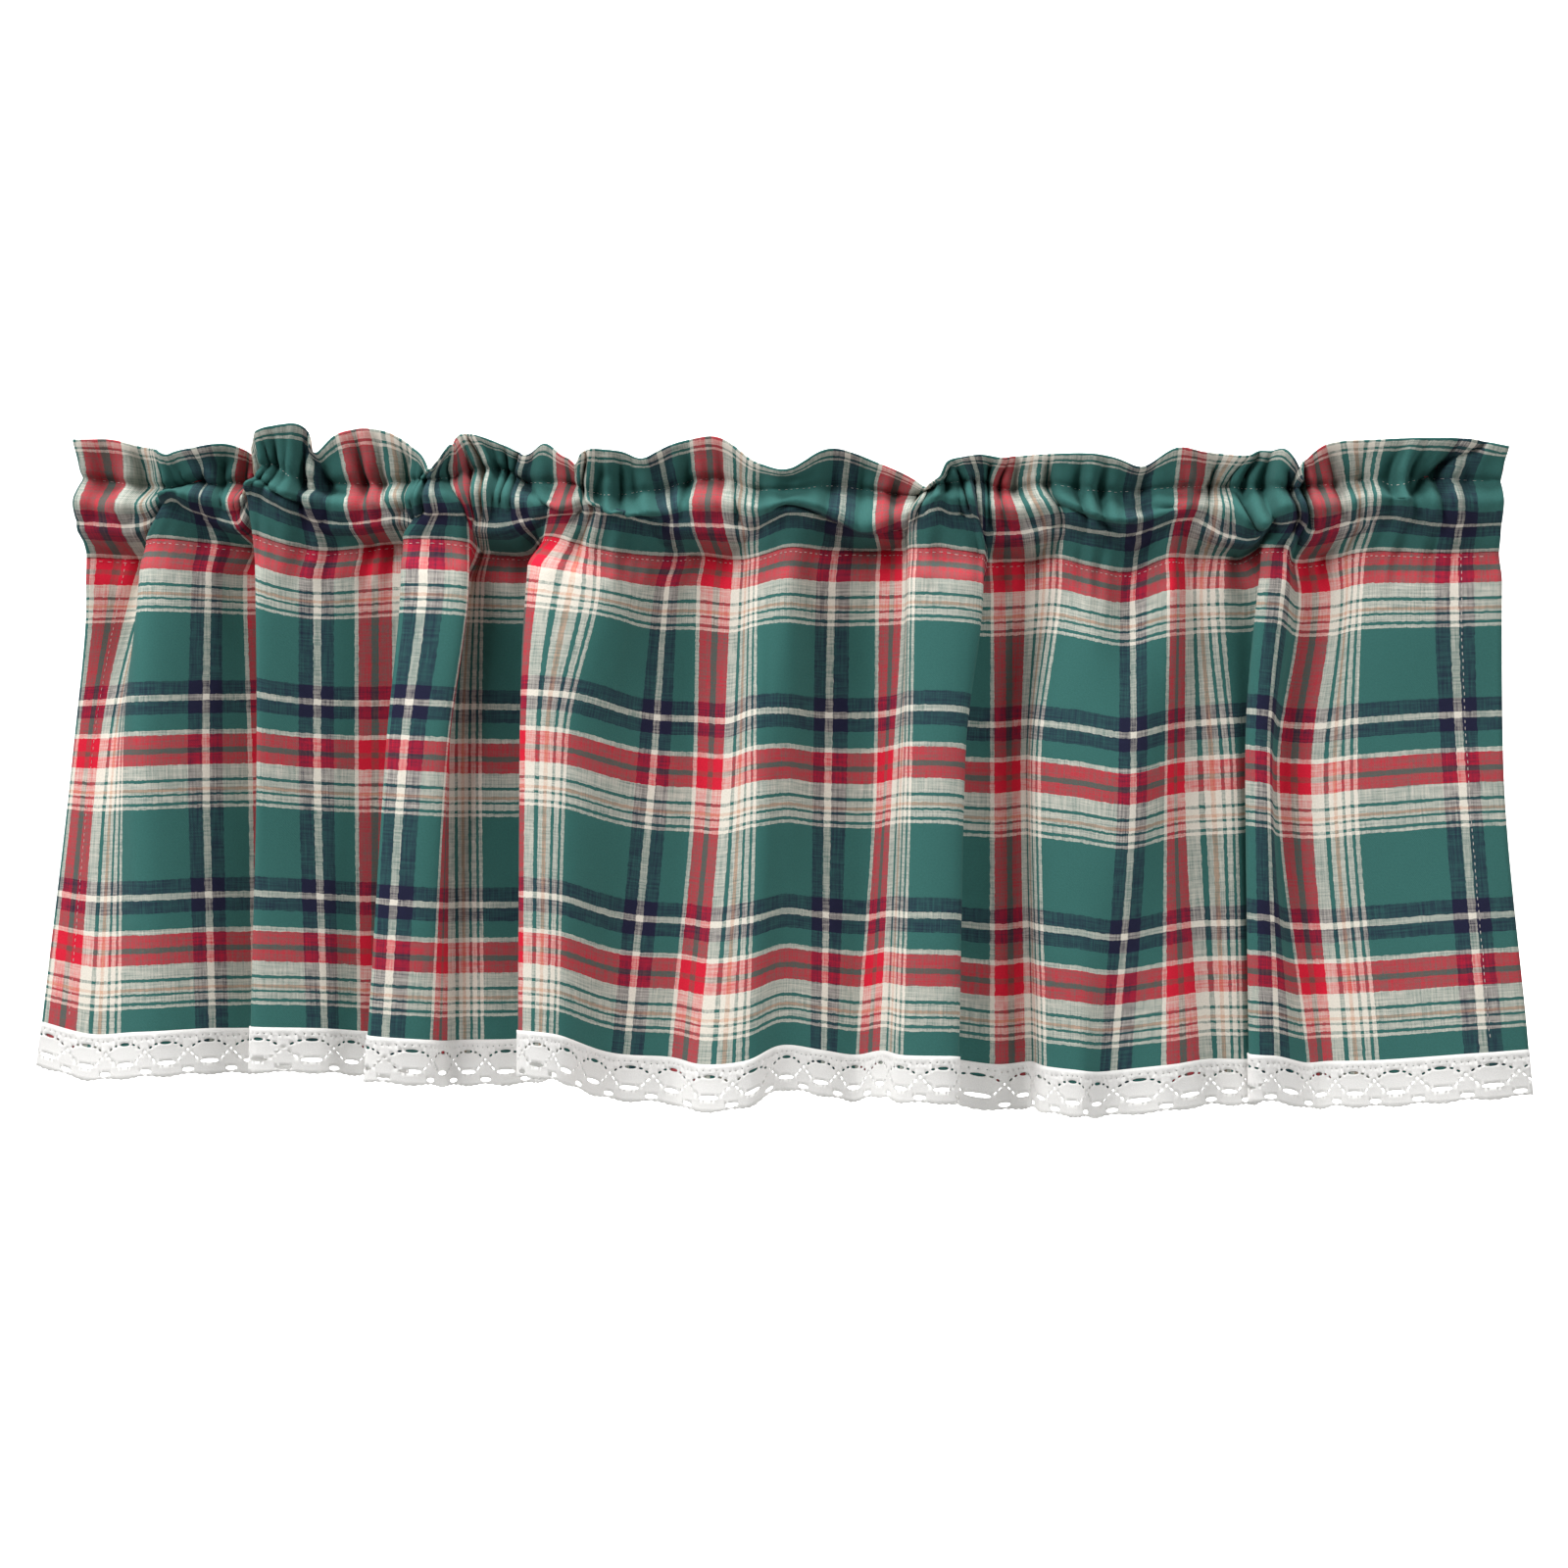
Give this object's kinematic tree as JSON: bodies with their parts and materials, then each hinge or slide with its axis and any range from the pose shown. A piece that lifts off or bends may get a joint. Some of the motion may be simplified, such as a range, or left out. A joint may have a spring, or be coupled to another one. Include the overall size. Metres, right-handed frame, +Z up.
{
  "type": "short curtain panel",
  "caption": "Short gathered tartan curtain panel with a frilled rod pocket along the top and a white lace edging along the bottom.",
  "frame": {"origin": "middle of the rod's line, inside the pocket along the curtain's top edge", "axes": "+X along the rod to the right as seen from the front, +Y towards the window behind the cloth, +Z up"},
  "size_m": [1.0226, 0.0581, 0.4642],
  "materials": {
    "tartan": "matte yarn-dyed cotton",
    "lace": "matte cotton lace"
  },
  "bodies": {
    "root": {"heading": "tartan", "panel": "tartan", "lace_edging": "lace"}
  },
  "joints": []
}
